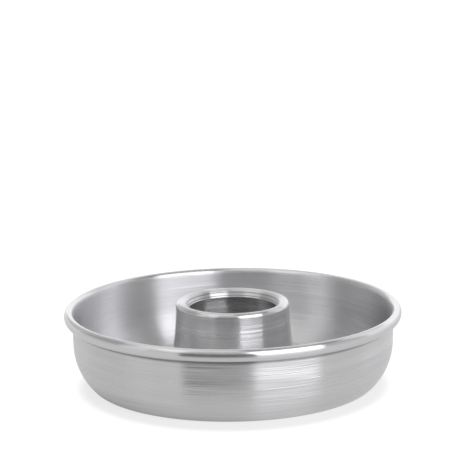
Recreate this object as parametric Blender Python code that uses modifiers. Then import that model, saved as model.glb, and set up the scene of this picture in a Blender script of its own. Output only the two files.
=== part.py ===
"""A 24 cm ring mould in spun aluminium sheet.

Two sheets make it: a pan body with a curled rim, and a centre tube whose foot is folded into a lock seam
with the edge of the hole in the floor. Each sheet is drawn as its middle line in the plane of radius and
height, turned round the Z axis and given its thickness. Lengths are in metres, angles in radians, +Z is
up, and the pan rests on z = 0.
"""

from math import acos, cos, pi, radians, sin, tan

import bpy

# Sheet
SHEET = 0.0012  # thickness of both sheets
SEAM_GAP = 0.0003  # clearance between two layers of the seam

# Pan body
INSIDE_RADIUS = 0.1200  # inside of the wall at the rim
RIM_HEIGHT = 0.0577
BEAD_WIDTH = 0.0070
BEAD_HEIGHT = 0.0090
CURL_GAP = 0.0004  # between the cut edge of the curl and the wall
WALL_DRAFT = radians(1.5)  # lean of the wall from upright
CORNER_RADIUS = 0.0434  # outside of the large round at the foot of the wall
CORNER_SWEEP = radians(43)
FOOT_RADIUS = 0.0041  # outside of the small round between that round and the floor

# Centre tube
TUBE_HEIGHT = 0.0614
CREST_RADIUS = 0.0394  # circle along the top of the shoulder
SHOULDER_RADIUS = 0.0034  # round on the wall's side of the crest
MOUTH_ROUND_RADIUS = 0.0058  # round on the mouth's side of the crest
MOUTH_ROUND_SWEEP = radians(49)
LIP_CREASE = radians(11)  # bend between that round and the lip
LIP_LENGTH = 0.0038
TUBE_LEAN = radians(1.5)  # lean of the tube's wall just below the shoulder
FLARE_RADIUS = 0.310  # hollow curve of the tube's wall down to its foot
TUBE_FOOT_RADIUS = 0.0020

# Lock seam, and the raised seat of the floor above it
SEAM_LIFT = 0.0008  # height of the seam above the table
HOOK_LENGTH = 0.0040
SEAT_MARGIN = 0.0010  # room between the tube's hook and the slope of the seat
SEAT_BEND_RADIUS = 0.0025
SEAT_SLOPE = radians(55)

# Facets in a full turn
BODY_SIDES = 80
TUBE_SIDES = 64

# Middle lines of the seam's four layers: tube foot, pan hook, tube hook, seat
LAYER_PITCH = SHEET + SEAM_GAP
TUBE_FOOT, PAN_HOOK, TUBE_HOOK, SEAT = [SEAM_LIFT + SHEET / 2 + LAYER_PITCH * layer for layer in range(4)]
HOOK_OUTER_RADIUS = LAYER_PITCH + SHEET / 2


class Pen:
    """Draws the middle line of a sheet in the plane of radius and height, as straights and arcs."""

    def __init__(self, radius, height, heading):
        self.radius = radius
        self.height = height
        self.heading = heading
        self.points = [(radius, height)]

    def go(self, length):
        self.radius += length * cos(self.heading)
        self.height += length * sin(self.heading)
        self.points.append((self.radius, self.height))

    def crease(self, angle):
        self.heading += angle

    def turn(self, arc_radius, angle, steps):
        """Follows an arc, to the left by a positive angle and to the right by a negative one."""
        side = 1 if angle > 0 else -1
        centre_radius = self.radius - side * arc_radius * sin(self.heading)
        centre_height = self.height + side * arc_radius * cos(self.heading)
        start = self.heading
        for step in range(1, steps + 1):
            self.heading = start + angle * step / steps
            self.radius = centre_radius + side * arc_radius * sin(self.heading)
            self.height = centre_height - side * arc_radius * cos(self.heading)
            self.points.append((self.radius, self.height))


def tube_wall():
    """The tube from its crest down to its foot, and the radius of the pan's fold beside that foot."""
    wall = Pen(CREST_RADIUS, TUBE_HEIGHT - SHEET / 2, 0)
    wall.turn(SHOULDER_RADIUS - SHEET / 2, TUBE_LEAN - pi / 2, 4)
    # The flare ends where the round at the foot can run out level at the height of the lowest layer.
    rise = wall.height + FLARE_RADIUS * cos(wall.heading) - TUBE_FOOT_RADIUS - TUBE_FOOT
    slope = acos(rise / (FLARE_RADIUS - TUBE_FOOT_RADIUS))
    wall.turn(FLARE_RADIUS, -slope - wall.heading, 4)
    wall_beside_fold = wall.radius - (TUBE_HOOK - wall.height) / tan(slope)
    fold_radius = wall_beside_fold + (SHEET / 2 + SEAM_GAP + HOOK_OUTER_RADIUS) / sin(slope)
    wall.turn(TUBE_FOOT_RADIUS, slope, 2)
    return wall, fold_radius


def tube_line():
    """From the lip inside the mouth, over the shoulder and down the wall, to the hook in the seam."""
    lip = Pen(CREST_RADIUS, TUBE_HEIGHT - SHEET / 2, pi)
    lip.turn(MOUTH_ROUND_RADIUS - SHEET / 2, MOUTH_ROUND_SWEEP, 3)
    lip.crease(LIP_CREASE)
    lip.go(LIP_LENGTH)

    wall, fold_radius = tube_wall()
    wall.go(fold_radius + HOOK_LENGTH - wall.radius)
    wall.turn(LAYER_PITCH, pi, 3)
    wall.go(HOOK_LENGTH - SEAM_GAP)
    return lip.points[:0:-1] + wall.points


def rim_curl():
    """The sheet rolled outward and down from the top of the wall, three quarters round an oval."""
    half_width = (BEAD_WIDTH - SHEET) / 2
    half_height = (BEAD_HEIGHT - SHEET) / 2
    centre_radius = INSIDE_RADIUS + BEAD_WIDTH / 2
    centre_height = RIM_HEIGHT - BEAD_HEIGHT / 2
    end_radius = INSIDE_RADIUS + SHEET + CURL_GAP + SHEET / 2
    under_sweep = acos((end_radius - centre_radius) / half_width)
    over_the_top = [pi * (1 - step / 6) for step in range(7)]
    underneath = [-under_sweep * step / 4 for step in range(1, 5)]
    return [
        (centre_radius + half_width * cos(angle), centre_height + half_height * sin(angle))
        for angle in over_the_top + underneath
    ]


def body_line():
    """From the hook in the seam, over the seat and the floor, up the wall and round the rim."""
    curl = rim_curl()
    foot_turn = FOOT_RADIUS - SHEET / 2
    corner_turn = CORNER_RADIUS - SHEET / 2
    wall_heading = pi / 2 - WALL_DRAFT
    foot_sweep = wall_heading - CORNER_SWEEP
    corner_rise = foot_turn * (1 - cos(foot_sweep)) + corner_turn * (cos(foot_sweep) - cos(wall_heading))
    corner_reach = foot_turn * sin(foot_sweep) + corner_turn * (sin(wall_heading) - sin(foot_sweep))
    wall_rise = curl[0][1] - corner_rise - SHEET / 2
    floor_radius = curl[0][0] - wall_rise / tan(wall_heading) - corner_reach

    fold_radius = tube_wall()[1]
    hook_end = fold_radius + HOOK_LENGTH - SEAM_GAP
    seat_radius = fold_radius + HOOK_LENGTH + HOOK_OUTER_RADIUS + SEAT_MARGIN
    seat_drop = SEAT - SHEET / 2 - 2 * SEAT_BEND_RADIUS * (1 - cos(SEAT_SLOPE))

    line = Pen(hook_end, PAN_HOOK, pi)
    line.go(hook_end - fold_radius)
    line.turn(LAYER_PITCH, -pi, 3)
    line.go(seat_radius - fold_radius)
    line.turn(SEAT_BEND_RADIUS, -SEAT_SLOPE, 2)
    line.go(seat_drop / sin(SEAT_SLOPE))
    line.turn(SEAT_BEND_RADIUS, SEAT_SLOPE, 2)
    line.go(floor_radius - line.radius)
    line.turn(foot_turn, foot_sweep, 2)
    line.turn(corner_turn, CORNER_SWEEP, 5)
    return line.points + curl


def satin_aluminium(name, colour, roughness):
    material = bpy.data.materials.new(name)
    material.use_nodes = True
    shader = material.node_tree.nodes["Principled BSDF"]
    shader.inputs["Base Color"].default_value = (*colour, 1)
    shader.inputs["Metallic"].default_value = 1
    shader.inputs["Roughness"].default_value = roughness
    return material


def spun_sheet(name, line, sides, material, collection):
    """Turns a middle line round the Z axis, and gives the sheet half its thickness on each side of it."""
    mesh = bpy.data.meshes.new(name)
    edges = [(start, start + 1) for start in range(len(line) - 1)]
    mesh.from_pydata([(radius, 0, height) for radius, height in line], edges, [])
    mesh.materials.append(material)
    sheet = bpy.data.objects.new(name, mesh)
    collection.objects.link(sheet)

    spin = sheet.modifiers.new("Spin", "SCREW")
    spin.axis = "Z"
    spin.steps = sides
    spin.render_steps = sides
    spin.use_merge_vertices = True
    spin.merge_threshold = 0.00001
    spin.use_smooth_shade = True

    thickness = sheet.modifiers.new("Thickness", "SOLIDIFY")
    thickness.thickness = SHEET
    thickness.offset = 0
    thickness.use_even_offset = True
    thickness.use_quality_normals = True
    return sheet


def clear_scene():
    for thing in list(bpy.data.objects):
        bpy.data.objects.remove(thing)


def build():
    clear_scene()
    collection = bpy.data.collections.new("ring_mould")
    bpy.context.scene.collection.children.link(collection)
    body_metal = satin_aluminium("pan_aluminium", (0.62, 0.62, 0.63), 0.32)
    tube_metal = satin_aluminium("tube_aluminium", (0.60, 0.60, 0.61), 0.30)
    spun_sheet("pan_body", body_line(), BODY_SIDES, body_metal, collection)
    spun_sheet("centre_tube", tube_line(), TUBE_SIDES, tube_metal, collection)


build()
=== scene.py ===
"""Looks of a 24 cm ring mould in spun aluminium: two turned sheets, their finishes, and a white studio.

Each sheet is a middle line in the plane of radius and height. The line is given its thickness, its cut
edges are rounded, and it is carried round the Z axis. Lengths are in metres and angles in radians, unless a
name or its description says otherwise.
"""

import logging
from abc import ABC, abstractmethod
from dataclasses import dataclass, field
from enum import Enum
from math import acos, atan, cos, pi, radians, sin, tan
from typing import Any, Mapping, Sequence, Union

import bpy
import numpy as np
from mathutils import Matrix, Vector


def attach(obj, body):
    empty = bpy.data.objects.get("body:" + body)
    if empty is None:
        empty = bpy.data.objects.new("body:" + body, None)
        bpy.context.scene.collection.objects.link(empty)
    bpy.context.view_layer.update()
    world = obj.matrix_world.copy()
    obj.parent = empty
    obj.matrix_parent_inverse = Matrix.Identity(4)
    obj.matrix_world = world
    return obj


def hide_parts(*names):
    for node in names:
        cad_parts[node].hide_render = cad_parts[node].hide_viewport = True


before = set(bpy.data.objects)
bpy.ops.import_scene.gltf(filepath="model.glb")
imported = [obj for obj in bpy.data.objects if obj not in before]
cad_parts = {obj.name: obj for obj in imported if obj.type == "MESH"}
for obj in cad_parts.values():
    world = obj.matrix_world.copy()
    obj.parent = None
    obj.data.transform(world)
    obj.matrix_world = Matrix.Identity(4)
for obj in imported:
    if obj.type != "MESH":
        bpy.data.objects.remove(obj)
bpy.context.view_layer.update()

PHOTO_WIDTH = 466  # pixels, in both directions
MM = 0.001
SHEET = 1.2 * MM  # thickness of both sheets

Colour = tuple[float, float, float]
Operand = Union["Signal", float]

WHITE: Colour = (1.0, 1.0, 1.0)
LAVENDER: Colour = (0.96, 0.95, 1.0)
MIDDLE = 0.5  # the mean of a noise, and the middle of the range from 0 to 1
QUARTER_TURN = 0.25  # turns the anisotropy, so that a highlight spreads across the brush lines

log = logging.getLogger("ring_mould")


def placed(name: str, data: bpy.types.ID) -> bpy.types.Object:
    """Puts a new object into the scene.

    Args:
        name: Its name.
        data: Its mesh, lamp or camera.

    Returns:
        The object.
    """
    made = bpy.data.objects.new(name, data)
    bpy.context.scene.collection.objects.link(made)
    return made


# Shader graphs


@dataclass(frozen=True)
class Signal:
    """A node's output, usable in Python expressions."""

    graph: "Graph"
    socket: bpy.types.NodeSocket | None

    def output(self, name: int | str) -> "Signal":
        """Another output of the same node."""
        return Signal(self.graph, self.socket.node.outputs[name])

    def __add__(self, other: Operand) -> "Signal":
        """Sum."""
        return self.graph.calculate("ADD", self, other)

    def __sub__(self, other: Operand) -> "Signal":
        """Difference."""
        return self.graph.calculate("SUBTRACT", self, other)

    def __rsub__(self, other: float) -> "Signal":
        """Difference, with the number first."""
        return self.graph.calculate("SUBTRACT", other, self)

    def __mul__(self, other: Operand) -> "Signal":
        """Product."""
        return self.graph.calculate("MULTIPLY", self, other)

    def __truediv__(self, other: Operand) -> "Signal":
        """Quotient."""
        return self.graph.calculate("DIVIDE", self, other)

    __radd__ = __add__
    __rmul__ = __mul__


class Graph:
    """A node tree being filled: of a material or a world."""

    # places of the Mix node's sockets for colours
    MIX_SHARE, MIX_FIRST, MIX_SECOND, MIX_RESULT = 0, 6, 7, 2

    def __init__(self, tree: bpy.types.NodeTree) -> None:
        """Empties the tree.

        Args:
            tree: The node tree to fill.
        """
        self.tree = tree
        tree.nodes.clear()

    def node(
        self,
        kind: str,
        sockets: Mapping[int | str, Any] | None = None,
        settings: Mapping[str, Any] | None = None,
        output: int | str = 0,
    ) -> Signal:
        """Adds one node.

        Args:
            kind: The node's type.
            sockets: Values or signals for its inputs, by name or number.
            settings: Values of the node's own properties, set before its inputs.
            output: Name or number of the output that is wanted.

        Returns:
            That output.
        """
        made = self.tree.nodes.new(kind)
        for name, value in (settings or {}).items():
            setattr(made, name, value)
        for name, value in (sockets or {}).items():
            if isinstance(value, Signal):
                self.tree.links.new(value.socket, made.inputs[name])
            else:
                made.inputs[name].default_value = value
        return Signal(self, made.outputs[output] if made.outputs else None)

    def attribute(self, name: str) -> Signal:
        """Reads an attribute of the mesh as a value."""
        return self.node("ShaderNodeAttribute", settings={"attribute_name": name}, output="Fac")

    def calculate(self, operation: str, *operands: Operand) -> Signal:
        """Adds a Math node for one operation on values."""
        return self.node("ShaderNodeMath", dict(enumerate(operands)), {"operation": operation})

    def vectors(self, operation: str, *operands: Signal) -> Signal:
        """Adds a Vector Math node for one operation on vectors."""
        return self.node("ShaderNodeVectorMath", dict(enumerate(operands)), {"operation": operation})

    def scaled(self, vector: Signal, factor: Operand) -> Signal:
        """Multiplies a vector by a value."""
        return self.node("ShaderNodeVectorMath", {0: vector, "Scale": factor}, {"operation": "SCALE"})

    def length(self, x: Signal, y: Signal) -> Signal:
        """Length of a level vector."""
        return self.calculate("SQRT", x * x + y * y)

    def ranged(self, value: Signal, low: float, high: float, start: float = 0, end: float = 1) -> Signal:
        """Maps a value smoothly from the range low..high to start..end, and holds it at those ends."""
        sockets = dict(enumerate((value, low, high, start, end)))
        return self.node("ShaderNodeMapRange", sockets, {"interpolation_type": "SMOOTHSTEP"})

    def mixed_colour(self, share: Operand, first: Signal | Colour, second: Signal | Colour) -> Signal:
        """Blends two colours.

        Args:
            share: Share of the second colour, from 0 to 1.
            first: Colour at share 0.
            second: Colour at share 1.

        Returns:
            The blend.
        """
        first, second = (value if isinstance(value, Signal) else (*value, 1.0) for value in (first, second))
        sockets = {self.MIX_SHARE: share, self.MIX_FIRST: first, self.MIX_SECOND: second}
        return self.node("ShaderNodeMix", sockets, {"data_type": "RGBA"}, output=self.MIX_RESULT)

    def place(self) -> tuple[Signal, Signal]:
        """The object's own two level coordinates."""
        split = self.node("ShaderNodeSeparateXYZ", {0: self.node("ShaderNodeTexCoord", output="Object")})
        return split, split.output("Y")


def new_material(name: str) -> tuple[bpy.types.Material, Graph]:
    """Makes a material whose graph is still empty.

    Args:
        name: Its name.

    Returns:
        The material, and its graph to fill.
    """
    made = bpy.data.materials.new(name)
    made.use_nodes = True
    return made, Graph(made.node_tree)


# Finishes


class Stroke(Enum):
    """Kinds of brush line: waves for each metre across it, waves for each metre along it, and a shift."""

    SCRATCH = (3400.0, 16.0, 0.0)
    GROOVE = (870.0, 7.0, 31.0)
    STRAY = (500.0, 12.0, 57.0)
    BAND = (110.0, 6.0, 83.0)


@dataclass(frozen=True)
class BrushedFinish:
    """Aluminium sheet brushed round its axis, so that light spreads across the brush lines.

    Attributes:
        name: Material name.
        clean: Colour of the clean metal.
        dull: Colour of the duller streaks.
        painted_shade_colour: Colour of the painted shade in the tight crease under the bead and in the
            scored lines of the mouth.
        satin: Roughness of the brushed places.
        matting: How much rougher a face is that was not brushed.
        polished: Roughness where the sheet's polish attribute is 1.
        spread: How much wider a highlight is across the brush lines than along them, up to 1.
        rake: How far the sides of the finest brush lines tilt, as a slope.
        bare_rake: Share of the rake on a face that was not brushed.
        furrow: How far the sides of the lines that show one by one tilt, as a slope.
        waver: How far brush lines stray from a true circle, as a slope.
        uneven: How much the roughness differs from groove to groove, and from one broad band to the next.
        worn: Share by which the polish is scratched again.
        tone_range: Levels of the noise between which the dull colour gives way to the clean one.
        painted_shade_range: Levels of the painted shade between which its colour sets in.
    """

    name: str
    clean: Colour = (0.74, 0.738, 0.745)
    dull: Colour = (0.66, 0.658, 0.665)
    painted_shade_colour: Colour = (0.28, 0.28, 0.28)
    satin: float = 0.28
    matting: float = 0.08
    polished: float = 0.22
    spread: float = 1.0
    rake: float = 1.4
    bare_rake: float = 0.4
    furrow: float = 0.1
    waver: float = 0.03
    uneven: tuple[float, float] = (0.1, 0.08)
    worn: float = 0.25
    tone_range: tuple[float, float] = (0.35, 0.65)
    painted_shade_range: tuple[float, float] = (0.25, 1.0)

    def material(self) -> bpy.types.Material:
        """Builds the material.

        The normal is the face's own, tilted across the brush lines by scratches and grooves, and along them
        by the lines that stray from a circle.

        Returns:
            A material with streaks that run round the Z axis.
        """
        made, graph = new_material(self.name)
        x, y = graph.place()
        radius = graph.length(x, y)
        around = graph.node("ShaderNodeCombineXYZ", {0: y / radius * -1.0, 1: x / radius})
        scratch, groove, stray, band = (self.streaks(graph, (x, y), stroke) for stroke in Stroke)
        polish = graph.attribute("polish")
        # painted shade in the pan's crease under the bead and in the tube's scored lines, from 0 to 1
        painted_shade = graph.attribute("painted_shade")

        brushed = graph.attribute("brushed")
        unpolished = 1 - (1 - self.worn) * polish
        rubbed = brushed * unpolished
        face = graph.node("ShaderNodeNewGeometry", output="Normal")
        across = graph.vectors("CROSS_PRODUCT", around, face)
        raked = self.bare_rake + (1 - self.bare_rake) * brushed
        fine = (scratch - MIDDLE) * self.rake * raked * unpolished
        slants = (
            graph.scaled(around, (stray - MIDDLE) * self.waver * rubbed),
            graph.scaled(across, fine + (groove - MIDDLE) * self.furrow * rubbed),
        )
        slanted = graph.vectors("ADD", face, graph.vectors("ADD", *slants))
        normal = graph.vectors("NORMALIZE", slanted)

        matt = self.satin + self.matting * (1 - brushed)
        uneven = (groove - MIDDLE) * self.uneven[0] + (band - MIDDLE) * self.uneven[1]
        rough = matt + (self.polished - matt) * polish + uneven * rubbed
        streaked = graph.ranged((groove + band) / 2, *self.tone_range)
        tone = (streaked - MIDDLE) * brushed + MIDDLE
        metal = graph.mixed_colour(tone, self.dull, self.clean)
        # share of the painted shade colour, made patchy by the stray noise, darkening the metal as if
        # shaded
        painted_shade_share = graph.ranged(painted_shade * (stray + MIDDLE), *self.painted_shade_range)
        shader = graph.node(
            "ShaderNodeBsdfPrincipled",
            {
                "Base Color": graph.mixed_colour(painted_shade_share, metal, self.painted_shade_colour),
                "Metallic": 1.0,
                "Roughness": rough,
                "Anisotropic": self.spread,
                "Anisotropic Rotation": QUARTER_TURN,
                "Normal": normal,
            },
        )
        graph.node("ShaderNodeOutputMaterial", {"Surface": shader})
        return made

    @staticmethod
    def streaks(graph: Graph, level: tuple[Signal, Signal], stroke: Stroke) -> Signal:
        """Noise drawn out round the axis.

        The noise is read at (x, y) times the waves along a stroke, and at the distance along the sheet's
        section times the waves across it, so on a level circle it changes only with the waves along.

        Args:
            graph: The material's graph.
            level: The two level coordinates.
            stroke: Kind of brush line.

        Returns:
            The noise, about 0.5 on average.
        """
        across, along, shift = stroke.value
        run = graph.attribute("run")
        joined = graph.node(
            "ShaderNodeCombineXYZ", {0: level[0] * along, 1: level[1] * along, 2: run * across + shift}
        )
        sockets = {"Vector": joined, "Scale": 1.0, "Detail": 1.0, "Roughness": 0.5}
        return graph.node("ShaderNodeTexNoise", sockets)


# Sheets


def run_along(line: np.ndarray) -> np.ndarray:
    """Distance along a line from its first point, for rows that start with radius and height."""
    steps = np.linalg.norm(np.diff(line[:, :2], axis=0), axis=1)
    return np.concatenate([[0], np.cumsum(steps)])


class Pen:
    """Draws the middle line of a sheet in the plane of radius and height, as straights and arcs."""

    def __init__(self, radius: float, height: float, heading: float) -> None:
        """Puts the pen down.

        Args:
            radius: Distance from the axis.
            height: Height above the table.
            heading: Direction of travel, 0 outward and a quarter turn upward.
        """
        self.radius, self.height, self.heading = radius, height, heading
        self.rows = [np.array([[radius, height, heading]])]

    def go(self, length: float, step: float = 2 * MM) -> None:
        """Runs straight ahead, by the distance times (cos heading, sin heading).

        Args:
            length: How far.
            step: Distance between points, at most.
        """
        along = np.linspace(0, length, int(length / step) + 2)[1:]
        radius = self.radius + along * cos(self.heading)
        height = self.height + along * sin(self.heading)
        self._keep(radius, height, np.full(len(along), self.heading))

    def turn(self, arc_radius: float, angle: float, steps: int) -> None:
        """Follows an arc, along which the heading turns in equal steps.

        The radius changes by the arc's radius times the change of the heading's sine, and the height by
        minus the arc's radius times the change of the cosine, both reversed on a turn to the right.

        Args:
            arc_radius: Radius of the arc.
            angle: Turn, positive to the left and negative to the right.
            steps: Number of points.
        """
        side = 1 if angle > 0 else -1
        heading = self.heading + angle * np.arange(1, steps + 1) / steps
        radius = self.radius + side * arc_radius * (np.sin(heading) - sin(self.heading))
        height = self.height - side * arc_radius * (np.cos(heading) - cos(self.heading))
        self._keep(radius, height, heading)

    def _keep(self, radius: np.ndarray, height: np.ndarray, heading: np.ndarray) -> None:
        """Adds points and leaves the pen at the last of them."""
        self.rows.append(np.column_stack([radius, height, heading]))
        self.radius, self.height, self.heading = (float(value) for value in self.rows[-1][-1])

    def line(self) -> np.ndarray:
        """All points so far, as rows of radius, height and heading."""
        return np.concatenate(self.rows)


class End(Enum):
    """An end of a middle line: the row of its point, and 1 or -1 for along or against the heading."""

    FIRST = (0, -1)
    LAST = (-1, 1)


@dataclass
class Sheet(ABC):
    """A spun sheet of metal.

    Attributes:
        name: Name of the piece.
        node: CAD node that it stands for.
        slot: Material slot of the record; not used.
        finish: Its finish.
        thickness: Thickness of the sheet.
        edge_round: How far the rounding of a cut edge reaches past the middle line's end.
        edge_points: Points round a cut edge, between the two faces.
        brushed: How strongly brush lines show, on the face left of the middle line and on the right one.
        sides: Facets in a full turn.
    """

    name: str
    node: str
    slot: str
    finish: BrushedFinish
    thickness: float = SHEET
    edge_round: float = 0.3 * MM
    edge_points: int = 7
    brushed: tuple[float, float] = (0.25, 1.0)
    sides: int = 240

    @abstractmethod
    def middle_line(self) -> np.ndarray:
        """Rows of radius, height and heading along the middle of the sheet, from its end in the seam."""

    @abstractmethod
    def polish(self, radius: np.ndarray, height: np.ndarray) -> np.ndarray:
        """How polished each point of the section is, from 0 to 1."""

    @abstractmethod
    def painted_shade(self, radius: np.ndarray, height: np.ndarray) -> np.ndarray:
        """How much painted shade each point of the section takes, from 0 to 1."""

    def edge(self, line: np.ndarray, end: End) -> np.ndarray:
        """Rounds a cut edge by half an ellipse from one face to the other.

        A point is the end of the middle line, plus half the thickness times cos angle across the sheet,
        plus the reach of the rounding times sin angle ahead.

        Args:
            line: The sheet's middle line.
            end: Which of its ends.

        Returns:
            Rows of radius and height, without the points on the faces.
        """
        row, way = end.value
        radius, height, heading = line[row]
        half = self.thickness / 2
        angle = np.linspace(0, pi, self.edge_points + 2)[1:-1, None]
        ahead = way * np.array([cos(heading), sin(heading)])
        across = way * np.array([-sin(heading), cos(heading)])
        centre = np.array([radius, height])
        return centre + half * np.cos(angle) * across + self.edge_round * np.sin(angle) * ahead

    def section(self) -> np.ndarray:
        """Closed section: each face lies half the thickness from the middle line, square to it.

        A cut edge is brushed as the face before it.

        Returns:
            Rows of radius, height and brushing, in order round the section from the end in the seam.
        """
        line = self.middle_line()
        radius, height, heading = line.T
        normal = np.column_stack([-np.sin(heading), np.cos(heading)]) * self.thickness / 2
        centre = np.column_stack([radius, height])
        left, right = centre + normal, centre - normal
        faces = (left, self.edge(line, End.LAST), right[::-1], self.edge(line, End.FIRST))
        strengths = np.repeat(self.brushed, 2)
        marked = [np.insert(face, 2, strength, axis=1) for face, strength in zip(faces, strengths)]
        return np.concatenate(marked)

    def build(self) -> bpy.types.Object:
        """Carries the section round the axis and makes it a piece of the object.

        A point of the surface is (radius cos turn, radius sin turn, height), for the section's radius and
        height and a turn in equal steps. The distance along the section is kept as the attribute run.

        Returns:
            The new piece, riding on the root body in place of its CAD node.
        """
        marked = self.section()
        section, brushed = marked[:, :2], marked[:, 2]
        rows, sides = len(section), self.sides
        turn = 2 * pi * np.arange(sides) / sides
        radius, height = section[:, :1], section[:, 1:]
        level = np.broadcast_to(height, (rows, sides))
        points = np.stack([radius * np.cos(turn), radius * np.sin(turn), level], axis=2)
        row, side = np.meshgrid(np.arange(rows), np.arange(sides), indexing="ij")
        near, far = row * sides, (row + 1) % rows * sides
        beside = (side + 1) % sides
        quads = np.stack([near + side, near + beside, far + beside, far + side], axis=2).reshape(-1, 4)
        ahead = np.roll(section, -1, axis=0)
        if np.sum(section[:, 0] * ahead[:, 1] - ahead[:, 0] * section[:, 1]) < 0:
            quads = quads[:, ::-1]
        mesh = bpy.data.meshes.new(self.name)
        mesh.vertices.add(rows * sides)
        mesh.vertices.foreach_set("co", points.astype(np.float32).ravel())
        mesh.loops.add(quads.size)
        mesh.loops.foreach_set("vertex_index", quads.astype(np.int32).ravel())
        mesh.polygons.add(len(quads))
        mesh.polygons.foreach_set("loop_start", np.arange(0, quads.size, 4, dtype=np.int32))
        mesh.update(calc_edges=True)
        mesh.shade_smooth()
        looks = {
            "run": run_along(section),
            "brushed": brushed,
            "polish": self.polish(*section.T),
            # painted shade in the crease and the scored lines
            "painted_shade": self.painted_shade(*section.T),
        }
        for attribute, values in looks.items():
            made = mesh.attributes.new(attribute, "FLOAT", "POINT")
            made.data.foreach_set("value", np.repeat(values, sides).astype(np.float32))
        mesh.materials.append(self.finish.material())
        piece = placed(self.name, mesh)
        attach(piece, "root")
        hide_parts(self.node)
        log.info("%s: %d faces", self.name, len(quads))
        return piece


@dataclass
class LockSeam:
    """Folded seam between the tube's foot and the edge of the pan's floor.

    Attributes:
        sheet: Thickness of each layer.
        gap: Clearance between two layers.
        lift: Height of the seam above the table.
        hook_length: Straight part of each hook.
        margin: Room between the tube's hook and the slope of the seat.
    """

    sheet: float = SHEET
    gap: float = 0.3 * MM
    lift: float = 0.8 * MM
    hook_length: float = 4.0 * MM
    margin: float = 1.0 * MM

    @property
    def pitch(self) -> float:
        """Distance between the middle lines of two layers."""
        return self.sheet + self.gap

    @property
    def hook_radius(self) -> float:
        """Outer radius of a hook's fold."""
        return self.pitch + self.sheet / 2

    def layer(self, number: int) -> float:
        """Height of a layer's middle line: 0 tube foot, 1 pan hook, 2 tube hook, 3 seat."""
        return self.lift + self.sheet / 2 + self.pitch * number


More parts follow.
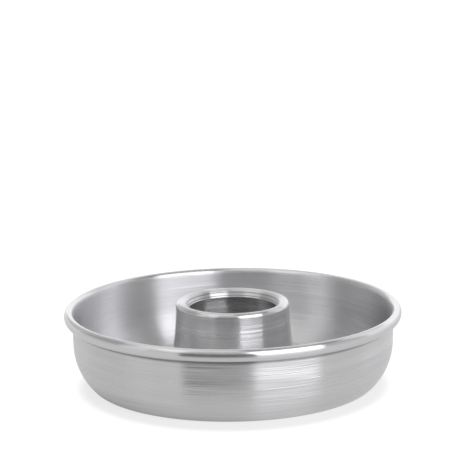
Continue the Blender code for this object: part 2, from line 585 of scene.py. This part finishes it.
@dataclass
class CentreTube(Sheet):
    """The hollow tube, from its hook in the seam up its wall and over the shoulder to the lip in its mouth.

    Attributes:
        seam: The seam at its foot.
        height: Height of its crest above the table.
        crest_radius: Radius of the crest.
        shoulder_radius: Outer radius of the round from the crest to the wall.
        mouth_round_radius: Outer radius of the round from the crest into the mouth.
        mouth_round_sweep: Turn of that round.
        crease: Further turn, where the round meets the lip.
        crease_radius: Radius of that turn.
        lip_length: Straight part of the lip.
        lean: How far the wall leans in at its top.
        flare_radius: Radius of the wall's outward sweep towards the foot.
        foot_radius: Radius of the turn into the foot.
        scores: Distances of the scored lines in the mouth from the lip's cut edge.
        score_width: Width of a scored line.
        score_depth: Depth of a scored line.
        score_shade_reach: Reach of the painted shade at a scored line.
        polish_fade: Distance outside the crest over which the polish of the mouth fades out.
        polish_depth: Depth under the crest down to which the mouth is polished.
    """

    seam: LockSeam = field(default_factory=LockSeam)
    height: float = 61.4 * MM
    crest_radius: float = 39.4 * MM
    shoulder_radius: float = 3.4 * MM
    mouth_round_radius: float = 5.8 * MM
    mouth_round_sweep: float = radians(49)
    crease: float = radians(11)
    crease_radius: float = 0.8 * MM
    lip_length: float = 3.8 * MM
    lean: float = radians(1.5)
    flare_radius: float = 310 * MM
    foot_radius: float = 2.0 * MM
    scores: tuple[float, ...] = (1.2 * MM, 3.9 * MM)
    score_width: float = 0.3 * MM
    score_depth: float = 0.16 * MM
    score_shade_reach: float = 0.25 * MM
    polish_fade: float = 2 * MM
    polish_depth: float = 10 * MM

    def wall(self) -> tuple[Pen, float]:
        """Draws the tube from its crest down to its foot.

        The wall sweeps outwards until the turn into the foot can end level with the seam's lowest layer.
        The cosine of its slope there is the height of the sweep's centre above the foot's centre, over the
        difference of the two radii. The centre of the pan's fold lies at the height of layer 2 of the seam,
        and clears that slope by half the sheet, the gap and the hook's outer radius, square to the slope.

        Returns:
            The pen at the foot, and the radius of the centre of the pan's fold beside it.
        """
        seam = self.seam
        pen = Pen(self.crest_radius, self.height - self.thickness / 2, 0)
        pen.turn(self.shoulder_radius - self.thickness / 2, self.lean - pi / 2, steps=24)
        rise = pen.height + self.flare_radius * cos(pen.heading) - self.foot_radius - seam.layer(0)
        slope = acos(rise / (self.flare_radius - self.foot_radius))
        pen.turn(self.flare_radius, -slope - pen.heading, steps=48)
        beside_fold = pen.radius - (seam.layer(2) - pen.height) / tan(slope)
        fold_radius = beside_fold + (self.thickness / 2 + seam.gap + seam.hook_radius) / sin(slope)
        pen.turn(self.foot_radius, slope, steps=8)
        return pen, fold_radius

    def lip(self) -> np.ndarray:
        """Draws the tube from its crest into the mouth, with the scored lines.

        A scored line sets the sheet back from the mouth, square to its faces, by depth times
        exp(-(distance / half width) squared).

        Returns:
            Rows of radius, height and heading, from the crest to the lip's cut edge.
        """
        pen = Pen(self.crest_radius, self.height - self.thickness / 2, pi)
        pen.turn(self.mouth_round_radius - self.thickness / 2, self.mouth_round_sweep, steps=40)
        pen.turn(self.crease_radius, self.crease, steps=4)
        pen.go(self.lip_length, step=0.08 * MM)
        line = pen.line()
        run = run_along(line)
        left = run[-1] - run
        dip = sum(np.exp(-(((left - score) / (self.score_width / 2)) ** 2)) for score in self.scores)
        line[:, 0] -= self.score_depth * dip * np.sin(line[:, 2])
        line[:, 1] += self.score_depth * dip * np.cos(line[:, 2])
        return line

    def middle_line(self) -> np.ndarray:
        """Draws the tube from the crest down to the hook, turns that round, and adds the lip.

        Returns:
            Rows of radius, height and heading from the hook to the lip.
        """
        pen, fold_radius = self.wall()
        pen.go(fold_radius + self.seam.hook_length - pen.radius)
        pen.turn(self.seam.pitch, pi, steps=12)
        pen.go(self.seam.hook_length - self.seam.gap)
        outward = pen.line()[:0:-1]
        outward[:, 2] += pi
        return np.concatenate([outward, self.lip()])

    def polish(self, radius: np.ndarray, height: np.ndarray) -> np.ndarray:
        """The mouth is polished from the crest inwards, fading out on the shoulder."""
        inwards = np.clip((self.crest_radius + self.polish_fade - radius) / self.polish_fade, 0, 1)
        return inwards * (height > self.height - self.polish_depth)

    def painted_shade(self, radius: np.ndarray, height: np.ndarray) -> np.ndarray:
        """Painted shade in the scored lines of the mouth: exp(-(distance past the face / reach) squared).

        Args:
            radius: Distances of the section's points from the axis.
            height: Their heights.

        Returns:
            How much painted shade each point takes, from 0 to 1.
        """
        lip = self.lip()
        run = run_along(lip)
        left = run[-1] - run
        found = np.zeros_like(radius)
        # painted shade round each scored line
        for score in self.scores:
            place = lip[np.argmin(np.abs(left - score)), :2]
            away = np.hypot(radius - place[0], height - place[1])
            past_face = np.maximum(away - self.thickness / 2, 0)
            found = np.maximum(found, np.exp(-((past_face / self.score_shade_reach) ** 2)))
        return found


@dataclass
class PanBody(Sheet):
    """The pan, from its hook in the seam over the floor and up the wall to the curled rim.

    Attributes:
        seam: The seam at the edge of its floor.
        fold_radius: Radius of the centre of its fold in the seam.
        inside_radius: Inside radius at the rim.
        rim_height: Height of the rim above the table.
        bead_width: Width of the rim's bead, across the wall.
        bead_height: Height of the bead.
        curl_gap: Gap between the curl's cut edge and the wall.
        curl_points: Points along the curl.
        draft: How far the wall leans out.
        corner_radius: Outer radius of the large round between floor and wall.
        corner_sweep: Turn of that round.
        foot_radius: Outer radius of the small round next to the floor.
        seat_bend_radius: Radius of the bends above and below the seat's slope.
        seat_slope: Slope between the floor and the seat of the seam.
        outer_polish: Distance outside the wall over which the bead's polish sets in.
        inner_polish: Depths under the rim at which the polish starts and is full.
        crease_place: Middle of the painted shade in the crease, out from the wall's inner face and down
            from the bead.
        crease_reach: Reach of that painted shade across and up and down.
        crease_start: Distance from the wall's inner face past which a point can take the painted shade.
    """

    seam: LockSeam = field(default_factory=LockSeam)
    fold_radius: float = 0.0
    inside_radius: float = 120 * MM
    rim_height: float = 57.7 * MM
    bead_width: float = 7.0 * MM
    bead_height: float = 9.0 * MM
    curl_gap: float = 0.4 * MM
    curl_points: int = 72
    draft: float = radians(1.5)
    corner_radius: float = 43.4 * MM
    corner_sweep: float = radians(43)
    foot_radius: float = 4.1 * MM
    seat_bend_radius: float = 2.5 * MM
    seat_slope: float = radians(55)
    outer_polish: float = 0.6 * MM
    inner_polish: tuple[float, float] = (3 * MM, 1 * MM)
    crease_place: tuple[float, float] = (1.56 * MM, 0.9 * MM)
    crease_reach: tuple[float, float] = (1.6 * MM, 2.2 * MM)
    crease_start: float = 0.72 * MM

    def curl(self) -> np.ndarray:
        """The rim's curl.

        A point is (centre + half width times cos angle, centre + half height times sin angle), with the
        angle falling from half a turn, at the wall, to where the cut edge nears the wall again. Its end is
        one and a half thicknesses and the gap from the wall's inner face.

        Returns:
            Rows of radius, height and heading.
        """
        half_width = (self.bead_width - self.thickness) / 2
        half_height = (self.bead_height - self.thickness) / 2
        centre_radius = self.inside_radius + self.bead_width / 2
        end_radius = self.inside_radius + self.thickness * 1.5 + self.curl_gap
        sweep = pi + acos((end_radius - centre_radius) / half_width)
        angle = pi - np.linspace(0, sweep, self.curl_points)
        radius = centre_radius + half_width * np.cos(angle)
        height = self.rim_height - self.bead_height / 2 + half_height * np.sin(angle)
        heading = np.arctan2(-half_height * np.cos(angle), half_width * np.sin(angle))
        return np.column_stack([radius, height, heading])

    def middle_line(self) -> np.ndarray:
        """Draws the pan from its hook to the curl, with the floor's radius worked out from the curl.

        The corner's two rounds rise by their radii times the change of the heading's cosine, and reach out
        by their radii times the change of its sine. The wall takes the rest of the rise, leaning by the
        draft, and the floor ends where the wall's and the rounds' reach leave it.

        Returns:
            Rows of radius, height and heading from the hook to the end of the curl.
        """
        curl = self.curl()
        half = self.thickness / 2
        foot_turn, corner_turn = self.foot_radius - half, self.corner_radius - half
        upright = pi / 2 - self.draft
        foot_sweep = upright - self.corner_sweep
        corner_rise = foot_turn * (1 - cos(foot_sweep)) + corner_turn * (cos(foot_sweep) - cos(upright))
        corner_reach = foot_turn * sin(foot_sweep) + corner_turn * (sin(upright) - sin(foot_sweep))
        wall_rise = curl[0, 1] - corner_rise - half
        floor_radius = curl[0, 0] - wall_rise / tan(upright) - corner_reach
        seam = self.seam
        hook_end = self.fold_radius + seam.hook_length - seam.gap
        seat_radius = self.fold_radius + seam.hook_length + seam.hook_radius + seam.margin
        seat_drop = seam.layer(3) - half - 2 * self.seat_bend_radius * (1 - cos(self.seat_slope))

        pen = Pen(hook_end, seam.layer(1), pi)
        pen.go(hook_end - self.fold_radius)
        pen.turn(seam.pitch, -pi, steps=12)
        pen.go(seat_radius - self.fold_radius)
        pen.turn(self.seat_bend_radius, -self.seat_slope, steps=8)
        pen.go(seat_drop / sin(self.seat_slope))
        pen.turn(self.seat_bend_radius, self.seat_slope, steps=8)
        pen.go(floor_radius - pen.radius)
        pen.turn(foot_turn, foot_sweep, steps=10)
        pen.turn(corner_turn, self.corner_sweep, steps=36)
        pen.go(wall_rise / sin(upright), step=1 * MM)
        return np.concatenate([pen.line()[:-1], curl])

    def polish(self, radius: np.ndarray, height: np.ndarray) -> np.ndarray:
        """The bead is polished where it stands out from the wall, and the wall just under the rim.

        Args:
            radius: Distances of the section's points from the axis.
            height: Their heights.

        Returns:
            How polished each point is, from 0 to 1.
        """
        start, full = self.inner_polish
        outside = np.clip((radius - self.inside_radius - self.thickness) / self.outer_polish, 0, 1)
        above = np.clip((height - (self.rim_height - start)) / (start - full), 0, 1)
        return np.maximum(outside, above)

    def painted_shade(self, radius: np.ndarray, height: np.ndarray) -> np.ndarray:
        """Painted shade in the crease where the curl comes back to the wall: exp(-(distance / reach)
        squared).

        Args:
            radius: Distances of the section's points from the axis.
            height: Their heights.

        Returns:
            How much painted shade each point takes, from 0 to 1.
        """
        out, down = self.crease_place
        across, upright = self.crease_reach
        crease_height = self.rim_height - self.bead_height - down
        # painted shade, strongest in the crease and fading away from it
        away = np.hypot((radius - self.inside_radius - out) / across, (height - crease_height) / upright)
        return np.exp(-(away**2)) * (radius > self.inside_radius + self.crease_start)


# Studio


def direction(azimuth: float | np.ndarray, elevation: float | np.ndarray) -> np.ndarray:
    """Unit vectors from the pan, for an azimuth of 0 towards the camera and positive to its right.

    Args:
        azimuth: Angle or array of angles.
        elevation: Angle above the horizon, or an array of the same shape.

    Returns:
        (sin azimuth cos elevation, -cos azimuth cos elevation, sin elevation) along the last axis.
    """
    level = np.cos(elevation)
    height = np.sin(elevation) * np.ones_like(level)
    return np.stack([np.sin(azimuth) * level, -np.cos(azimuth) * level, height], -1)


@dataclass(frozen=True)
class SoftBox:
    """A rectangular lamp that faces the pan.

    Attributes:
        name: Name of the lamp.
        azimuth: Degrees to the right of the camera, seen from the pan.
        elevation: Degrees above the horizon.
        distance: From the pan.
        width: Across.
        height: Up and down.
        radiance: Brightness of its face, where 1 is the white of the backdrop.
        colour: Colour of its light.
    """

    name: str
    azimuth: float
    elevation: float
    distance: float
    width: float
    height: float
    radiance: float
    colour: Colour = WHITE

    def build(self) -> bpy.types.Object:
        """Makes the lamp, which the camera itself doesn't see.

        Its power is its radiance times pi times its area.

        Returns:
            The lamp's object.
        """
        data = bpy.data.lights.new(self.name, "AREA")
        data.shape = "RECTANGLE"
        data.size, data.size_y = self.width, self.height
        data.energy = self.radiance * pi * self.width * self.height
        data.color = self.colour
        lamp = placed(self.name, data)
        back = Vector(direction(radians(self.azimuth), radians(self.elevation)))
        lamp.location = back * self.distance
        lamp.rotation_mode = "QUATERNION"
        lamp.rotation_quaternion = back.to_track_quat("Z", "Y")
        lamp.visible_camera = False
        log.info("lamp %s", self.name)
        return lamp


@dataclass(frozen=True)
class Card:
    """A curved card that the metal reflects: a piece of a sphere round the pan, evenly bright.

    Attributes:
        name: Name of the card.
        azimuths: Degrees to the right of the camera, from and to.
        elevations: Degrees above the horizon, from and to.
        radiance: Brightness, where 1 is the white of the backdrop.
        colour: Colour of its light.
        distance: From the pan.
        step: Degrees between its points, about.
    """

    name: str
    azimuths: tuple[float, float]
    elevations: tuple[float, float]
    radiance: float
    colour: Colour = WHITE
    distance: float = 2.5
    step: float = 5.0

    def build(self) -> bpy.types.Object:
        """Makes the card, which the camera itself doesn't see.

        Its points are the distance times the directions of a grid of azimuths and elevations.

        Returns:
            The card's object.
        """
        azimuth, elevation = (
            np.radians(np.linspace(low, high, max(2, int((high - low) / self.step) + 1)))
            for low, high in (self.azimuths, self.elevations)
        )
        columns, rows = len(azimuth), len(elevation)
        points = self.distance * direction(*np.meshgrid(azimuth, elevation))
        corner = (np.arange(rows - 1)[:, None] * columns + np.arange(columns - 1)).reshape(-1, 1)
        quads = corner + np.array([0, 1, columns + 1, columns])
        mesh = bpy.data.meshes.new(self.name)
        mesh.from_pydata(points.reshape(-1, 3).tolist(), [], quads.tolist())
        material, graph = new_material(self.name)
        glow = graph.node("ShaderNodeEmission", {"Color": (*self.colour, 1.0), "Strength": self.radiance})
        graph.node("ShaderNodeOutputMaterial", {"Surface": glow})
        mesh.materials.append(material)
        card = placed(self.name, mesh)
        card.visible_camera = False
        log.info("card %s", self.name)
        return card


@dataclass(frozen=True)
class PhotoCamera:
    """The camera of the photograph, from a fit of the pan's outline.

    Attributes:
        distance: From the centre of the pan's base.
        elevation_degrees: Above the horizon.
        roll_degrees: Turn of the picture about its centre, positive clockwise.
        focal_pixels: Focal length in pixels of the photograph.
        base_pixel: Where the centre of the pan's base falls in the photograph.
        sensor_width: In millimetres.
        sight: Nearest and farthest distance that it sees.
    """

    distance: float = 1.389
    elevation_degrees: float = 16.62
    roll_degrees: float = -0.82
    focal_pixels: float = 1819.0
    base_pixel: tuple[float, float] = (233.7, 378.6)
    sensor_width: float = 36.0
    sight: tuple[float, float] = (0.05, 50.0)

    def build(self) -> bpy.types.Object:
        """Makes the camera, turned so that the base falls on its pixel, without shift.

        The base's offset from the picture's middle, turned back by the roll, is the focal length times the
        tangents of the angles by which the camera tilts and pans away from the base.

        Returns:
            The camera's object.
        """
        elevation, roll = radians(self.elevation_degrees), radians(self.roll_degrees)
        right, ahead = Vector((1, 0, 0)), Vector((0, cos(elevation), -sin(elevation)))
        up = right.cross(ahead)
        place = -ahead * self.distance
        across, down = (pixel - PHOTO_WIDTH / 2 for pixel in self.base_pixel)
        across, down = cos(roll) * across + sin(roll) * down, cos(roll) * down - sin(roll) * across
        tilt, pan = atan(down / self.focal_pixels), atan(across / self.focal_pixels)
        up, ahead = up * cos(tilt) - ahead * sin(tilt), up * sin(tilt) + ahead * cos(tilt)
        right, ahead = right * cos(pan) + ahead * sin(pan), ahead * cos(pan) - right * sin(pan)
        right, up = right * cos(roll) + up * sin(roll), up * cos(roll) - right * sin(roll)
        data = bpy.data.cameras.new("camera")
        data.sensor_width = self.sensor_width
        data.lens = self.sensor_width * self.focal_pixels / PHOTO_WIDTH
        data.clip_start, data.clip_end = self.sight
        camera = placed("camera", data)
        turned = Matrix((right, up, -ahead)).transposed()
        camera.matrix_world = Matrix.Translation(place) @ turned.to_4x4()
        bpy.context.scene.camera = camera
        log.info("camera at %.3f m", self.distance)
        return camera


class Ray(Enum):
    """The rays to which the white of the table is shown."""

    CAMERA = "Is Camera Ray"
    GLOSSY = "Is Glossy Ray"
    THROUGH_GLASS = "Is Transmission Ray"


@dataclass(frozen=True)
class WhiteTable:
    """A white table: part of its white is its own glow, which keeps the real shadow soft and paints a
    shadow round the pan.

    Attributes:
        reach: Half its side.
        colour: Diffuse colour, which takes the shadow.
        glow: White that the camera sees beside the pan, and what the open table adds to it.
        centre: Centre of the painted soft shadow, which lies a little towards the camera.
        under: Radii round that centre between which the first white sets in, so that the table under the
            pan is painted dark.
        beside: Radii round that centre between which the second one sets in, at the painted shadow's edge.
        contact_centre: Centre of the painted shadow that only the metal sees, pushed to the left by the key
            light.
        contact: Radii round it between which that painted shadow gives way to the open table.
        mirrored: White that the metal sees inside and outside those radii.
    """

    reach: float = 6.0
    colour: Colour = (0.14, 0.14, 0.14)
    glow: tuple[float, float] = (0.75, 0.28)
    centre: tuple[float, float] = (0.0, -11.5 * MM)
    under: tuple[float, float] = (5 * MM, 95 * MM)
    beside: tuple[float, float] = (109 * MM, 126 * MM)
    contact_centre: tuple[float, float] = (-12 * MM, 0.0)
    contact: tuple[float, float] = (90 * MM, 118 * MM)
    mirrored: tuple[float, float] = (0.25, 0.62)

    def build(self) -> bpy.types.Object:
        """Makes the table.

        Returns:
            The table's object.
        """
        corners = self.reach * np.array([(-1, -1, 0), (1, -1, 0), (1, 1, 0), (-1, 1, 0)])
        mesh = bpy.data.meshes.new("table")
        mesh.from_pydata(corners.tolist(), [], [(0, 1, 2, 3)])
        mesh.materials.append(self.material())
        table = placed("table", mesh)
        log.info("table")
        return table

    def material(self) -> bpy.types.Material:
        """Adds the glow to a diffuse surface, for the rays that see it.

        The camera sees the first white, which rises from the middle of the shadow, plus the second one,
        which rises at its edge, so that the glow paints the pan's soft shadow. The metal sees the mirrored
        white, which rises at the pan's foot as a painted contact shadow, times the first of those two
        rises.

        Returns:
            The table's material.
        """
        made, graph = new_material("white_table")
        path = graph.node("ShaderNodeLightPath")
        camera, glossy, through_glass = (path.output(ray.value) for ray in Ray)
        x, y = graph.place()
        centres = (self.centre, self.contact_centre)
        shadow, contact = (graph.length(x - centre[0], y - centre[1]) for centre in centres)
        # the glow's rises round the centre paint the pan's soft shadow and the dark under the pan
        near, open_table = (graph.ranged(shadow, *zone) for zone in (self.under, self.beside))
        shown = near * self.glow[0] + open_table * self.glow[1]
        # painted contact shadow that only reflections of the table show
        mirrored = near * graph.ranged(contact, *self.contact, *self.mirrored)
        seen = camera * shown + (glossy + through_glass) * mirrored
        glow = graph.node("ShaderNodeEmission", {"Strength": seen})
        diffuse = graph.node("ShaderNodeBsdfDiffuse", {"Color": (*self.colour, 1.0)})
        both = graph.node("ShaderNodeAddShader", {0: diffuse, 1: glow})
        graph.node("ShaderNodeOutputMaterial", {"Surface": both})
        return made


@dataclass
class Studio:
    """White table and backdrop, a soft box, cards and camera.

    Attributes:
        lights: Lamps and cards.
        table: The table.
        camera: The camera.
    """

    lights: Sequence[SoftBox | Card]
    table: WhiteTable = field(default_factory=WhiteTable)
    camera: PhotoCamera = field(default_factory=PhotoCamera)

    def build(self) -> None:
        """Makes everything round the pan."""
        self.table.build()
        self.backdrop()
        for light in self.lights:
            light.build()
        self.camera.build()
        bpy.context.scene.view_settings.view_transform = "Standard"

    @staticmethod
    def backdrop() -> None:
        """White all round."""
        world = bpy.data.worlds.new("backdrop")
        world.use_nodes = True
        graph = Graph(world.node_tree)
        white = graph.node("ShaderNodeBackground", {"Color": (*WHITE, 1.0), "Strength": 1.0})
        graph.node("ShaderNodeOutputWorld", {"Surface": white})
        bpy.context.scene.world = world


# A card's numbers are its azimuths and elevations in degrees, and its radiance.
STUDIO_LIGHTS = (
    SoftBox(
        "key", azimuth=38, elevation=31, distance=2.0, width=1.64, height=1.3, radiance=2.7, colour=LAVENDER
    ),
    Card("ceiling_back", (120, 240), (50, 90), 0.7),
    Card("ceiling_right", (15, 120), (50, 90), 0.14),
    Card("ceiling_left", (-120, -35), (50, 90), 1.1),
    Card("ceiling_front", (-35, 15), (68, 90), 1.1),
    Card("ceiling_front_flag", (-35, 15), (50, 68), 0.72),
    Card("back_light", (158, 202), (0, 25), 1.16),
    Card("back_high_light", (158, 202), (25, 50), 1.0),
    Card("back_right_light", (129, 158), (8, 29), 1.28, LAVENDER),
    Card("back_right_high_light", (129, 158), (29, 50), 0.8, LAVENDER),
    Card("right_corner_light", (100, 129), (8, 50), 1.08, LAVENDER),
    Card("right_light", (61, 100), (9, 50), 0.55),
    Card("right_low_flag", (61, 100), (0, 9), 0.85),
    Card("camera_near_flag", (-27, 11.5), (0, 22), 0.07, distance=0.28),
    Card("camera_low_flag", (-35, 15), (0, 12), 0.0),
    Card("camera_mid_flag", (-35, 15), (12, 24), 0.12),
    Card("camera_high_light", (-35, 15), (24, 37), 0.76),
    Card("camera_top_light", (-35, 15), (37, 50), 0.5),
    Card("left_inner_flag", (-57.5, -35), (10, 30), 0.55),
    Card("left_inner_light", (-57.5, -35), (30, 50), 1.35),
    Card("left_light", (-80, -57.5), (10, 50), 0.88),
    Card("left_side_light", (-120, -80), (10, 50), 0.42),
    Card("left_low_flag", (-120, -35), (0, 10), 0.8),
    Card("left_corner_flag", (-158, -120), (8, 50), 0.6),
)


def main() -> None:
    """Builds the pan and the studio."""
    seam = LockSeam()
    tube_finish = BrushedFinish(
        "tube_brushed",
        painted_shade_colour=(0.35, 0.35, 0.35),
        satin=0.25,
        matting=0.04,
        polished=0.34,
        rake=0.7,
        furrow=0.06,
        uneven=(0.12, 0.08),
    )
    pan_finish = BrushedFinish("pan_brushed", satin=0.3)
    tube = CentreTube("tube_metal", "centre_tube", "tube_aluminium", tube_finish, seam=seam)
    _, fold_radius = tube.wall()
    body = PanBody("pan_metal", "pan_body", "pan_aluminium", pan_finish, seam=seam, fold_radius=fold_radius)
    for sheet in (tube, body):
        sheet.build()
    Studio(STUDIO_LIGHTS).build()


if __name__ == "__main__":
    logging.basicConfig(level=logging.INFO)
    main()
